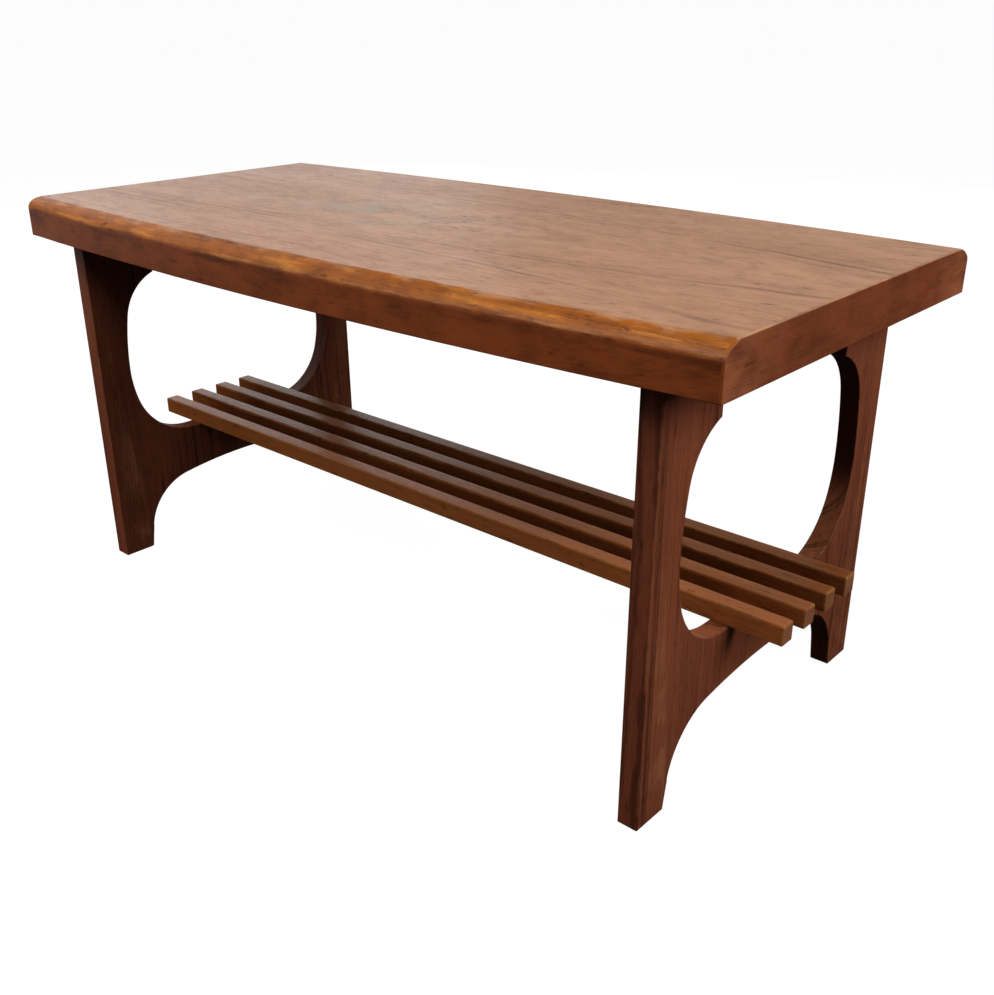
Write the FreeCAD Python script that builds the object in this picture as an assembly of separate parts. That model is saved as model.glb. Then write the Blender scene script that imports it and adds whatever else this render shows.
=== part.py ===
"""Magazine table: a bowed teak top on two cut-out end panels, with a rack of slats between them.

All sizes are millimetres. The origin is on the floor under the middle of the top.
X runs along the table, Y across it from front to rear, and Z up.
"""
import FreeCAD, Part
import math
import os

# Top: outline and edge
top_length = 1000.0
top_end_width = 454.0           # width across the straight ends
side_bow = 21.0                 # how far each long side bows out at mid length
table_height = 478.0
edge_depth = 46.0
lipping_width = 19.0            # the bevel takes the lipping's whole width
bevel_drop = 10.5
crown_inset = 9.0               # the bevel swells a little: its crown line, in from the front face
crown_drop = 3.8                # the crown line below the top
crown_round = 30.0
bevel_round = 8.0               # soft arris between bevel and front face
lower_round = 4.5               # arris under the long edges

# Top: layers and end build-up
core_thickness = 20.0
top_veneer = 1.0
end_band = 3.0
batten_width = 40.0

# End panels
end_overhang = 62.0             # top's end past the panel's outer face
panel_thickness = 22.0
panel_veneer = 1.2
foot_chamfer = 1.6              # eased rim under each foot, through the veneers
head_gap = 4.8                  # between a panel's head and the lipping beside it
leg_splay = 2.6                 # each leg's lean outwards, from head to foot
foot_width = 41.6
foot_lean = 9.6                 # degrees from upright of the foot's inner flank
foot_straight = 30.4            # height of that straight flank
waist_width = 43.0              # leg width where the opening is widest
waist_rise = 102.4              # height of that place above the rail
nose_width = 92.6               # width of each arm under the top
nose_drop = 53.0                # depth of the arm's end below the top's edge
nose_slope = 19.1               # degrees below level where the opening leaves the nose
arch_height = 99.6
rail_height = 56.9              # rail between the arch's crown and the slats

# Each stretch of a panel's outline is two arcs: how far the first reaches against the second
upper_balance = 1.09            # nose to waist
lower_balance = 0.37            # waist to rail
arch_balance = 1.06             # foot to crown

# Rack of slats
slat_count = 4
slat_overhang = 56.0            # slat's end past the panel's outer face
slat_width = 19.0
slat_height = 21.0
slat_pitch = 42.0
slat_arris = 1.5
rail_flat_margin = 8.0          # level rail left beside the outer slats

# Dowels between slats and rails
dowel_diameter = 8.0
dowel_in_slat = 12.0
dowel_in_rail = 20.0
dowel_clearance = 0.1           # on the radius, for glue
dowel_end_room = 0.5            # glue room at each end of the hole

# Cleats under the top, with their tongues and screws
cleat_width = 24.0
cleat_height = 21.0
cleat_arris = 2.0
cleat_setback = 12.0            # cleat's end behind the panel's edge
tongue_thickness = 8.0          # tongue along the cleat, glued in a groove in the panel
tongue_depth = 7.0
tongue_clearance = 0.1          # groove round the tongue and past it, for glue
screw_diameter = 4.0
screw_head_diameter = 8.0
screw_head_height = 2.2
screw_clearance = 0.1           # on the radius, in its hole
screw_end_room = 1.0            # hole past the screw's end
top_screw_bite = 14.0           # into the top, past the cleat

# Derived places
end_x = top_length / 2
field_end_x = end_x - end_band
edge_bottom = table_height - edge_depth
board_top = table_height - top_veneer
board_bottom = board_top - core_thickness
underside = board_bottom - top_veneer
mid_half_width = top_end_width / 2 + side_bow
side_radius = (end_x ** 2 + side_bow ** 2) / (2 * side_bow)
panel_outer_x = end_x - end_overhang
panel_inner_x = panel_outer_x - panel_thickness
panel_mid_x = (panel_outer_x + panel_inner_x) / 2
rail_top = arch_height + rail_height
slat_top = rail_top + slat_height
slat_end_x = panel_outer_x + slat_overhang
cleat_bottom = underside - cleat_height
cleat_inner_x = panel_inner_x - cleat_width

ACROSS = FreeCAD.Vector(0, 1, 0)
LENGTH = FreeCAD.Vector(1, 0, 0)
UP = FreeCAD.Vector(0, 0, 1)
ORIGIN = FreeCAD.Vector(0, 0, 0)
CUT_PAST = 1.0                  # how far a cutting tool runs past the face it cuts


def point(x, y, z):
    """A point in space."""
    return FreeCAD.Vector(x, y, z)


def side_y(x, inset):
    """Half width of the top at x, measured to a line that runs inset inside the long edge."""
    return mid_half_width - side_radius + math.sqrt((side_radius - inset) ** 2 - x ** 2)


def head_half_depth():
    """Half depth of a panel where it meets the underside of the top."""
    return side_y(panel_outer_x, lipping_width) - head_gap


def leg_edge_y(z):
    """Half depth of a panel at height z: the legs lean outwards in a straight line."""
    return head_half_depth() + leg_splay * (underside - z) / underside


def span_box(low, high):
    """Box between two opposite corners."""
    size = high - low
    return Part.makeBox(size.x, size.y, size.z, low)


def corner_arc(start, corner, end):
    """Arc from start to end that touches both legs of a corner, which are equally long."""
    chord_middle = (start + end) / 2
    half_turn = (corner - start).getAngle(end - start)
    lift = math.tan(half_turn / 2) / math.tan(half_turn)
    return Part.Arc(start, chord_middle + (corner - chord_middle) * lift, end).toShape()


def tangent_arcs(start, heading, end, arrival, balance):
    """Two arcs that run smoothly into each other, leaving along heading and ending along arrival."""
    span = end - start
    turn = 2 * balance * (heading.dot(arrival) - 1)
    pull = -2 * span.dot(heading * balance + arrival)
    reach = (-pull - math.sqrt(pull ** 2 - 4 * turn * span.dot(span))) / (2 * turn)
    first_corner = start + heading * (balance * reach)
    second_corner = end - arrival * reach
    joint = first_corner + (second_corner - first_corner) * (balance / (1 + balance))
    return [corner_arc(start, first_corner, joint), corner_arc(joint, second_corner, end)]


def rounded_face(corners):
    """Flat face with straight sides through (point, radius) corners, each rounded by its radius."""
    edges = []
    starts = []
    ends = []
    count = len(corners)
    for index, (corner, radius) in enumerate(corners):
        to_last = (corners[index - 1][0] - corner).normalize()
        to_next = (corners[(index + 1) % count][0] - corner).normalize()
        reach = radius / math.tan(to_last.getAngle(to_next) / 2)
        starts.append(corner + to_last * reach)
        ends.append(corner + to_next * reach)
        if radius > 0:
            edges.append(corner_arc(starts[index], corner, ends[index]))
    for index in range(count):
        edges.append(Part.makeLine(ends[index], starts[(index + 1) % count]))
    return Part.Face(Part.Wire(Part.__sortEdges__(edges)))


def mirrored_x(shape):
    """The same piece for the other end of the table."""
    return shape.mirror(ORIGIN, LENGTH)


def mirrored_y(shape):
    """The same piece for the other long side of the table."""
    return shape.mirror(ORIGIN, ACROSS)


def bowed_slab(inset, half_length, bottom, top):
    """Level slab with bowed long sides, inset from the top's own edge, and straight ends."""
    side = side_y(half_length, inset)
    bulge = side_y(0, inset)
    corners = [
        point(-half_length, -side, bottom),
        point(half_length, -side, bottom),
        point(half_length, side, bottom),
        point(-half_length, side, bottom),
    ]
    outline = Part.Wire([
        Part.Arc(corners[0], point(0, -bulge, bottom), corners[1]).toShape(),
        Part.makeLine(corners[1], corners[2]),
        Part.Arc(corners[2], point(0, bulge, bottom), corners[3]).toShape(),
        Part.makeLine(corners[3], corners[0]),
    ])
    return Part.Face(outline).extrude(UP * (top - bottom))


def front_edge_bar(half_length):
    """Bevelled bar along the front long edge: its section turned about the bow's own centre."""
    outer = -mid_half_width
    inner = outer + lipping_width
    section = rounded_face([
        (point(0, inner, table_height), 0),
        (point(0, outer + crown_inset, table_height - crown_drop), crown_round),
        (point(0, outer, table_height - bevel_drop), bevel_round),
        (point(0, outer, edge_bottom), lower_round),
        (point(0, inner, edge_bottom), 0),
    ])
    centre = point(0, side_radius - mid_half_width, 0)
    half_sweep = math.degrees(math.asin((end_x + lipping_width) / (side_radius - lipping_width)))
    section.rotate(centre, UP, -half_sweep)
    bar = section.revolve(centre, UP, 2 * half_sweep)
    reach = mid_half_width + CUT_PAST
    return bar.common(span_box(
        point(-half_length, -reach, 0), point(half_length, reach, table_height + CUT_PAST)))


def right_end_band():
    """Thin strip with the whole end profile of the top, both bevels included."""
    front = front_edge_bar(end_x)
    middle = bowed_slab(lipping_width, end_x, edge_bottom, table_height)
    whole = middle.fuse([front, mirrored_y(front)]).removeSplitter()
    reach = mid_half_width + CUT_PAST
    return whole.common(span_box(
        point(field_end_x, -reach, 0), point(end_x, reach, table_height + CUT_PAST)))


def right_end_batten():
    """Batten under the end of the board, between the two lippings."""
    field = bowed_slab(lipping_width, field_end_x, edge_bottom, underside)
    return field.common(span_box(
        point(field_end_x - batten_width, -mid_half_width, 0),
        point(field_end_x, mid_half_width, table_height)))


def half_outline(side):
    """Edges of one half of a panel on its inner face, from the arch's crown round to the rail."""
    lean = math.radians(foot_lean)
    slope = math.radians(nose_slope)
    foot = leg_edge_y(0)
    arch_foot = foot - foot_width
    arch_spring = arch_foot - foot_straight * math.tan(lean)
    head = head_half_depth()
    nose = head - nose_width
    nose_z = edge_bottom - nose_drop
    waist_z = rail_top + waist_rise
    waist = leg_edge_y(waist_z) - waist_width

    def at(y, z):
        return point(panel_inner_x, side * y, z)

    def towards(y, z):
        return point(0, side * y, z)

    straights = [
        (at(arch_spring, foot_straight), at(arch_foot, 0)),
        (at(arch_foot, 0), at(foot, 0)),
        (at(foot, 0), at(head, underside)),
        (at(head, underside), at(nose, underside)),
        (at(nose, underside), at(nose, nose_z)),
        (at(rail_flat(), rail_top), at(0, rail_top)),
    ]
    arch = tangent_arcs(
        at(arch_spring, foot_straight), towards(-math.sin(lean), math.cos(lean)),
        at(0, arch_height), towards(-1, 0), arch_balance)
    upper = tangent_arcs(
        at(nose, nose_z), towards(math.cos(slope), -math.sin(slope)),
        at(waist, waist_z), towards(0, -1), upper_balance)
    lower = tangent_arcs(
        at(waist, waist_z), towards(0, -1),
        at(rail_flat(), rail_top), towards(-1, 0), lower_balance)
    return arch + upper + lower + [Part.makeLine(*ends) for ends in straights]


def panel_outline():
    """Outline of an end panel: two legs, a rail, an arch between the feet and an oval open at its top."""
    return Part.Wire(Part.__sortEdges__(half_outline(1) + half_outline(-1)))


def right_panel_blank():
    """The whole panel with its feet eased, before its veneers and core are told apart."""
    panel = Part.Face(panel_outline()).extrude(LENGTH * panel_thickness)
    foot_rims = [edge for edge in panel.Edges if edge.BoundBox.ZMax < foot_chamfer]
    return panel.makeChamfer(foot_chamfer, foot_rims)


def rail_flat():
    """Half length of the level stretch of a rail, which carries the slats."""
    return slat_pitch * (slat_count - 1) / 2 + slat_width / 2 + rail_flat_margin


def slat_centres():
    """Places of the slats across the table, from front to rear."""
    return [slat_pitch * (index - (slat_count - 1) / 2) for index in range(slat_count)]


def dowel_holes(end):
    """Holes for the dowels at one end of the rack, in the rail and in the slats alike."""
    length = dowel_in_slat + dowel_in_rail + 2 * dowel_end_room
    radius = dowel_diameter / 2 + dowel_clearance
    bottom = rail_top - dowel_in_rail - dowel_end_room
    holes = [Part.makeCylinder(radius, length, point(end * panel_mid_x, y, bottom)) for y in slat_centres()]
    return Part.Compound(holes)


def dowel(x, y):
    """Wooden dowel that stands in the rail and reaches up into a slat."""
    length = dowel_in_slat + dowel_in_rail
    return Part.makeCylinder(dowel_diameter / 2, length, point(x, y, rail_top - dowel_in_rail))


def slat(y):
    """One bar of the rack, lying on both rails, with a dowel hole over each."""
    half_width = slat_width / 2
    section = rounded_face([
        (point(-slat_end_x, y - half_width, rail_top), slat_arris),
        (point(-slat_end_x, y + half_width, rail_top), slat_arris),
        (point(-slat_end_x, y + half_width, slat_top), slat_arris),
        (point(-slat_end_x, y - half_width, slat_top), slat_arris),
    ])
    bar = section.extrude(LENGTH * (2 * slat_end_x))
    return bar.cut([dowel_holes(-1), dowel_holes(1)])


def screw(length):
    """Round-headed wood screw that points up, with the underside of its head at the origin."""
    head = Part.makeCylinder(screw_head_diameter / 2, screw_head_height, UP * -screw_head_height)
    return head.fuse(Part.makeCylinder(screw_diameter / 2, length))


def screw_hole(length):
    """Hole for such a screw, with a little room round it and past its end."""
    start = UP * -CUT_PAST
    return Part.makeCylinder(
        screw_diameter / 2 + screw_clearance, length + screw_end_room + CUT_PAST, start)


def up_into_top(make):
    """Screws or holes that rise through the right cleat into the top, made by make(length)."""
    nose_middle = head_half_depth() - nose_width / 2
    placed = []
    for y in (-nose_middle, nose_middle):
        piece = make(cleat_height + top_screw_bite)
        piece.translate(point((cleat_inner_x + panel_inner_x) / 2, y, cleat_bottom))
        placed.append(piece)
    return placed


def cleat_half_length():
    """Half length of a cleat, which stops short of the panel's edges."""
    return head_half_depth() - cleat_setback


def right_tongue(grow):
    """Tongue along the right cleat, grown on every side to make its groove."""
    middle = (cleat_bottom + underside) / 2
    half_thickness = tongue_thickness / 2 + grow
    half_length = cleat_half_length() + grow
    return span_box(
        point(panel_inner_x - CUT_PAST, -half_length, middle - half_thickness),
        point(panel_inner_x + tongue_depth + grow, half_length, middle + half_thickness))


def right_cleat():
    """Batten in the corner between a panel and the top, with a tongue into the panel."""
    half_length = cleat_half_length()
    section = rounded_face([
        (point(cleat_inner_x, -half_length, cleat_bottom), cleat_arris),
        (point(panel_inner_x, -half_length, cleat_bottom), 0),
        (point(panel_inner_x, -half_length, underside), 0),
        (point(cleat_inner_x, -half_length, underside), 0),
    ])
    bar = section.extrude(ACROSS * (2 * half_length))
    return bar.fuse(right_tongue(0)).removeSplitter().cut(up_into_top(screw_hole))


def both_ends(pieces):
    """One group of like pieces at the right end and their mirror images at the left end."""
    return Part.Compound(pieces + [mirrored_x(piece) for piece in pieces])


def top_pieces():
    """Board, veneers, lippings, end bands and battens, and the screws that hold the top down."""
    holes = up_into_top(screw_hole)
    holes += [mirrored_x(hole) for hole in holes]
    front = front_edge_bar(field_end_x)
    band = right_end_band()
    batten = right_end_batten()
    return {
        "top_core": bowed_slab(lipping_width, field_end_x, board_bottom, board_top).cut(holes),
        "top_face_veneer": bowed_slab(lipping_width, field_end_x, board_top, table_height),
        "top_backing_veneer": bowed_slab(lipping_width, field_end_x, underside, board_bottom).cut(holes),
        "front_lipping": front,
        "rear_lipping": mirrored_y(front),
        "left_end_band": mirrored_x(band),
        "right_end_band": band,
        "left_end_batten": mirrored_x(batten),
        "right_end_batten": batten,
        "cleat_screws": both_ends(up_into_top(screw)),
    }


def panel_pieces():
    """Core and two face veneers of each end panel, and the cleat that ties it to the top."""
    blank = right_panel_blank().cut([right_tongue(tongue_clearance), dowel_holes(1)])
    layers = {
        "panel_inner_veneer": (panel_inner_x, panel_inner_x + panel_veneer),
        "panel_core": (panel_inner_x + panel_veneer, panel_outer_x - panel_veneer),
        "panel_outer_veneer": (panel_outer_x - panel_veneer, panel_outer_x),
    }
    reach = leg_edge_y(0) + CUT_PAST
    pieces = {"right_cleat": right_cleat()}
    for name, (inner, outer) in layers.items():
        slab = span_box(point(inner, -reach, -CUT_PAST), point(outer, reach, table_height))
        pieces["right_" + name] = blank.common(slab)
    for name in list(pieces):
        pieces[name.replace("right", "left")] = mirrored_x(pieces[name])
    return pieces


def rack_pieces():
    """The slats, named from front to rear, and the dowels that pin them to the rails."""
    inner_names = ["inner_slat_" + str(index) for index in range(1, slat_count - 1)]
    names = ["front_slat"] + inner_names + ["rear_slat"]
    pieces = {name: slat(y) for name, y in zip(names, slat_centres())}
    pieces["slat_dowels"] = both_ends([dowel(panel_mid_x, y) for y in slat_centres()])
    return pieces


def main():
    """Write each piece to its own file."""
    os.makedirs("parts", exist_ok=True)
    pieces = {**top_pieces(), **panel_pieces(), **rack_pieces()}
    for node, shape in pieces.items():
        shape.exportStep("parts/" + node + ".step")


main()
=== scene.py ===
"""Looks of a teak magazine table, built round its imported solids.

Every length is in metres, in the frame of the solids: X along the table, Y from front to rear, Z up.
"""
import math
from typing import NamedTuple

import bmesh
import bpy
from bpy.props import FloatProperty, FloatVectorProperty, PointerProperty
from mathutils import Matrix, Vector


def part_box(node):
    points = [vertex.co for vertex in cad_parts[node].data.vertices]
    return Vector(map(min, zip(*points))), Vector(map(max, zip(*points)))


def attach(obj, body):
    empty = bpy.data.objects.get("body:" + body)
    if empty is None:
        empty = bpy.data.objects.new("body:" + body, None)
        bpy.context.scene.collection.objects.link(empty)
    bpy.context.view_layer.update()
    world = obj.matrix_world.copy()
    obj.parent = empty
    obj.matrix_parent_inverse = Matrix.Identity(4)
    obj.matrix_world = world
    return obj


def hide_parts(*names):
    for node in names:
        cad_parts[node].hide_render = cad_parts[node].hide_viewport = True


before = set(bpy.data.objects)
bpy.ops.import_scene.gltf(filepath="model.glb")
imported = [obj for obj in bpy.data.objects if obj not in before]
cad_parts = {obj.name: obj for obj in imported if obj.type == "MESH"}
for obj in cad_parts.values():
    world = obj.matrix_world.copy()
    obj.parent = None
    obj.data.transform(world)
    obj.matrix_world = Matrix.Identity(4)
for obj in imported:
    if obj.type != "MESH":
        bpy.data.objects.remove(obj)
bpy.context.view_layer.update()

bl_info = {
    "name": "Magazine table",
    "version": (1, 0, 0),
    "blender": (4, 5, 0),
    "location": "View3D > Sidebar > Table",
    "description": "Dresses a teak magazine table with eased edges, figured wood and a studio stage",
    "category": "Object",
}

ENDS = ("left", "right")
SIDES = ("front", "rear")

# Shape of the top, read from its solids, with the widths at mid length
HALF_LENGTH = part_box("right_end_band")[1].x
TABLE_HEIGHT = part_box("top_face_veneer")[1].z
JOINT_HALF_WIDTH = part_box("top_face_veneer")[1].y   # out to where the veneer meets the long edges
EDGE_HALF_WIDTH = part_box("rear_lipping")[1].y       # out to the long edges' faces
EDGE_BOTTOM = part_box("rear_lipping")[0].z
BOW = (EDGE_HALF_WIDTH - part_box("right_end_band")[1].y) / HALF_LENGTH ** 2
BEVEL_FALL = 0.0108                                 # from the top's surface to the bevel's lower arris
BEVEL_BOTTOM = TABLE_HEIGHT - BEVEL_FALL
LOWER_ROUND = 0.0045                                # the solids' round under the long edges

# Shape of the rack and of the panels that carry it
SLAT_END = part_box("front_slat")[1].x
SLAT_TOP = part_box("front_slat")[1].z
PANEL_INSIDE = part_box("right_panel_core")[0].x
RAIL_MIDDLE = 0.12          # height between a panel's arch and its opening
LEG_MIDDLE = 0.185          # half width between the opening and the legs' outer edges
SILL_TOP = 0.225            # height where the opening's lower curve turns into its upper one

# Bleached patch of the top, the stretch of a band's corners where light is painted on, and that of the pale
# line of painted highlight and wear along a bevel's arris
BLEACHED_MIDDLE = -0.09
BLEACHED_HALF_LENGTH = 0.16
BLEACHED_HALF_WIDTH = 0.12
LIT_CORNERS_FROM = 0.12
LIT_CORNERS_TO = 0.23
ARRIS_LINE_FROM = -0.30
ARRIS_LINE_TO = 0.05

# Painted light and shade: how much paler or darker each piece is than the tone that it takes, for how
# brightly it is lit
# Painted shade: the left panel's veneers darker, for the shade under the top
FACE_PAINTED_SHADE = {"left": 0.82, "right": 1.0}
# Painted light on the left panel's sawn edges, painted shade on the right panel's
EDGE_PAINTED_LIGHT_AND_SHADE = {"left": 1.12, "right": 0.92}
# Painted light and shade on the slats: the front one paler, the rear ones darker, as the top shades them
SLAT_PAINTED_LIGHT_AND_SHADE = {"front_slat": 1.15, "inner_slat_1": 1.05, "inner_slat_2": 0.80, "rear_slat": 0.75}
SLAT_SHINE = 0.06           # strength of a slat's reflections, where its painted light factor is 1

# How meshes are worked
MERGE_DISTANCE = 5e-5
PLACE_TOLERANCE = 1e-5
FLAT_ANGLE = math.radians(0.2)      # faces that bend less than this are joined
SMOOTH_ANGLE = math.radians(50)     # edges that bend more than this stay sharp
SQUARE = 0.9999                     # how nearly a flat's normal follows an axis
WEAR = "wear"                       # attribute that marks rubbed edges
SIDE = "side"                       # attribute that marks what lies behind an eased rim
RIM_STEPS = 3                       # steps in the round of an eased rim
SLAT_STEPS = 4                      # in that of a slat
DOME_STEPS = 5                      # in that of a screw's head
ROUND_SIDES = 32                    # sides of a dowel hole or a screw

# Shape of the screws
DOME_SHARE = 0.8            # how much of a head's height is domed
POINT_SHARE = 0.1           # how thick a shank's point is beside the shank
SLOT_REACH = 1.5            # length of the slot's cutter beside the head
OTHER_SCREWS = ((1, -1, 0.6), (-1, 1, 1.9), (-1, -1, 2.7))      # end, side and turn of the copies

# Turns that lay a board's grain along the pattern's own X
GRAIN_ALONG_X = (0.0, 0.0, 0.0)
GRAIN_ALONG_Y = (0.0, 0.0, math.radians(-90))
GRAIN_ALONG_Z = (0.0, math.radians(90), 0.0)

# What all the woods have in common
GROUND_DARKNESS = 0.30      # how far plain wood is from its pale tone towards its dark one
PORE_DARKNESS = 0.25
HEART_DARKNESS = 0.5
FEATHER_CROWDING = 0.09     # how much more crowded the flecks of a feathered patch are
RIPPLE = 0.004              # how far the grain ripples sideways
FINE_LAYER = 0.2            # width of a fine layer beside a growth layer

# The studio
COVE_RADIUS = 30.0
COVE_HEIGHT = 20.0
COVE_SIDES = 96
COVE_STEPS = 12
WHITE = (1.0, 1.0, 1.0, 1.0)
WARM_LIGHT = (1.0, 0.96, 0.92)


class Lamp(NamedTuple):
    """A large soft lamp, with its place, what it points at, its size and its radiance."""

    name: str
    place: tuple
    target: tuple
    width: float
    height: float
    radiance: float
    colour: tuple = WARM_LIGHT


LAMPS = (
    Lamp("ceiling_softbox", (-0.1, -1.4, 2.8), (0.1, -0.2, 0.3), 2.0, 1.0, 8.0),
    Lamp("front_window", (-0.1, -2.0, 2.6), (0.1, 0.0, 0.3), 2.0, 1.0, 2.6),
    Lamp("right_softbox", (2.2, 0.3, 1.4), (0.4, 0.0, 0.2), 1.2, 1.2, 5.9),
    Lamp("left_window", (-1.6, -1.6, 1.1), (-0.4, 0.0, 0.3), 0.9, 0.9, 1.8, (1.0, 0.93, 0.86)),
    Lamp("floor_glow", (-3.4, -1.6, 0.02), (-3.4, -1.6, 1.0), 1.4, 1.2, 3.6),
    Lamp("left_wall", (-3.0, 0.4, 1.95), (-0.3, -0.2, 0.48), 2.0, 1.0, 1.0, (0.95, 0.97, 1.0)),
    Lamp("rear_softbox", (1.6, 2.0, 1.6), (0.2, 0.0, 0.2), 1.4, 1.4, 0.8),
    Lamp("rear_window", (-3.2, 1.2, 0.75), (-0.2, 0.0, 0.45), 3.6, 1.3, 2.45, (0.87, 0.91, 0.94)),
    Lamp("rear_wall", (-1.2, 3.4, 1.3), (0.2, 0.0, 0.45), 4.0, 2.6, 0.72, (1.0, 0.96, 0.90)),
)


def length(name, description, default):
    """A length that a user may change."""
    return FloatProperty(
        name=name, description=description, default=default, min=0.0, subtype="DISTANCE", unit="LENGTH")


def tone(name, description, default):
    """A colour that a user may change."""
    return FloatVectorProperty(
        name=name, description=description, default=(*default, 1.0), size=4, min=0.0, max=1.0,
        subtype="COLOR")


def angle(name, description, default):
    """An angle that a user may change."""
    return FloatProperty(
        name=name, description=description, default=default, subtype="ANGLE", unit="ROTATION")


def amount(name, description, default):
    """A plain number that a user may change."""
    return FloatProperty(name=name, description=description, default=default, min=0.0)


class TableSizes(bpy.types.PropertyGroup):
    """Small sizes that the solids leave to the finish."""

    corner_swell: length("Corner swell", "How much fuller the front edge is at its left end", 0.0026)
    corner_reach: length("Corner reach", "How far that fuller stretch runs along the front edge", 0.2)
    lower_arris: length("Lower arris", "Radius of the arris under the long edges", 0.0013)
    panel_arris: length("Panel arris", "Radius of the eased edges of the panels' faces", 0.0011)
    end_arris: length("End arris", "Radius of the eased edges round the top's ends", 0.0009)
    slat_arris: length("Slat arris", "Radius of the eased edges of the slats", 0.0018)
    rubbed_width: length("Rubbed width", "How far the wear reaches from a slat's edges", 0.0016)
    dowel: length("Dowel", "Diameter of the dowels under the slats", 0.008)
    dowel_room: length("Dowel room", "Glue room round a dowel in its hole", 0.0001)
    screw_head: length("Screw head", "Diameter of the screws' heads", 0.008)
    screw_rise: length("Screw rise", "Height of the screws' heads", 0.0022)
    screw_shank: length("Screw shank", "Diameter of the screws' shanks", 0.004)
    screw_slot: length("Screw slot", "Width of the slot in a screw's head", 0.0011)


class TableTones(bpy.types.PropertyGroup):
    """Colours of the woods and metals."""

    top_pale: tone("Top, pale", "Pale wood of the top's veneer", (0.51, 0.252, 0.128))
    top_grey: tone("Top, grey", "Bleached patches of the top's veneer", (0.33, 0.232, 0.138))
    top_dark: tone("Top, dark", "Dark streaks of the top's veneer", (0.19, 0.075, 0.030))
    bevel: tone("Bevel", "Pale wood of the long edges where their bevel is planed", (0.39, 0.112, 0.008))
    bevel_gold: tone("Bevel, golden", "Golden streaks of the planed bevel", (0.60, 0.220, 0.028))
    edge_stain: tone("Edge, stained", "Dark streaks just under the bevel", (0.13, 0.028, 0.006))
    edge_pale: tone("Edge, pale", "Pale wood of the long edges below the bevel", (0.29, 0.064, 0.013))
    # Painted highlight and wear along the bevel's lower arris
    edge_worn_and_highlit: tone("Edge, worn", "Rubbed arris under the bevel", (0.55, 0.230, 0.070))
    edge_dark: tone("Edge, dark", "Dark streaks of the long edges", (0.09, 0.020, 0.004))
    band_pale: tone("End band, pale", "Pale wood of the end bands", (0.29, 0.076, 0.027))
    band_dark: tone("End band, dark", "Dark streaks of the end bands", (0.12, 0.029, 0.009))
    # Painted light on the end bands' corners, and wear on their eased rims
    band_worn_and_lit: tone("End band, worn", "End bands where hands have rubbed them", (0.46, 0.150, 0.062))
    panel_pale: tone("Panel, pale", "Pale wood of the panels", (0.36, 0.102, 0.047))
    panel_dark: tone("Panel, dark", "Dark streaks of the panels", (0.06, 0.015, 0.007))
    panel_worn: tone("Panel, worn", "Rubbed edges of the panels", (0.52, 0.200, 0.095))
    core_pale: tone("Panel edge, pale", "Pale wood of the panels' sawn edges", (0.26, 0.070, 0.031))
    # Painted light on the lower curve of the right panel's opening, painted shade on its upper curve
    sill_painted_light: tone("Sill, worn", "Rubbed lower curve of the right panel's opening", (0.52, 0.170, 0.070))
    sill_painted_shade: tone("Sill, dark", "Darkened upper curve of the right panel's opening", (0.07, 0.018, 0.008))
    slat_pale: tone("Slat, pale", "Pale wood of the slats", (0.54, 0.172, 0.046))
    slat_dark: tone("Slat, dark", "Dark streaks of the slats", (0.11, 0.030, 0.008))
    slat_end: tone("Slat, end grain", "End grain of the slats", (0.42, 0.180, 0.092))
    # Painted shade on the inner slats' sides, which face the gaps
    slat_painted_shade: tone("Slat, grimed", "Sides of the slats that face the gaps", (0.16, 0.050, 0.014))
    slat_worn: tone("Slat, worn", "Rubbed edges of the slats", (0.60, 0.250, 0.080))
    plain_pale: tone("Plain, pale", "Pale wood of the hidden battens", (0.52, 0.34, 0.18))
    plain_dark: tone("Plain, dark", "Dark wood of the hidden battens", (0.34, 0.20, 0.10))
    steel: tone("Steel", "Colour of the screws", (0.45, 0.44, 0.42))
    steel_dull: tone("Steel, dull", "Colour of the screws where they are dull", (0.20, 0.17, 0.15))
    floor: tone("Floor", "Colour of the studio floor", (0.12, 0.12, 0.12))


class TableStage(bpy.types.PropertyGroup):
    """Camera and light."""

    camera_place: FloatVectorProperty(
        name="Camera place", description="Where the camera stands", default=(0.884409, -0.901476, 0.696960),
        size=3, subtype="TRANSLATION", unit="LENGTH")
    camera_heading: angle("Heading", "Turn of the camera from the rear towards the left", 0.728054)
    camera_tilt: angle("Tilt", "Tilt of the camera above level", -0.416486)
    camera_roll: angle("Roll", "Turn of the camera about its own line of sight", -0.004475)
    camera_lens: FloatProperty(
        name="Lens", description="Focal length for a 36 mm long side", default=40.409, min=1.0, unit="CAMERA")
    room_light: amount("Room light", "Brightness of the even light from all round", 0.02)
    floor_light: amount("Floor light", "Brightness of the floor's own light", 0.97)


def deselect_all():
    """Leave no object selected."""
    bpy.ops.object.select_all(action="DESELECT")


def make_active(piece):
    """Select one object alone."""
    deselect_all()
    piece.select_set(True)
    bpy.context.view_layer.objects.active = piece


def new_piece(name, mesh):
    """Put a mesh in the scene as an object at the origin."""
    piece = bpy.data.objects.new(name, mesh)
    bpy.context.scene.collection.objects.link(piece)
    return piece


def select(piece, kind, wanted):
    """In edit mode, select just the edges or the faces that wanted accepts."""
    bpy.ops.mesh.select_mode(type=kind)
    bpy.ops.mesh.select_all(action="DESELECT")
    work = bmesh.from_edit_mesh(piece.data)
    for part in work.edges if kind == "EDGE" else work.faces:
        part.select_set(bool(wanted(part)))
    bmesh.update_edit_mesh(piece.data)


def mark(piece, attribute, wanted):
    """In edit mode, mark the vertices that wanted accepts."""
    work = bmesh.from_edit_mesh(piece.data)
    layer = work.verts.layers.float.new(attribute)
    for vert in work.verts:
        vert[layer] = float(wanted(vert))
    bmesh.update_edit_mesh(piece.data)


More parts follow.
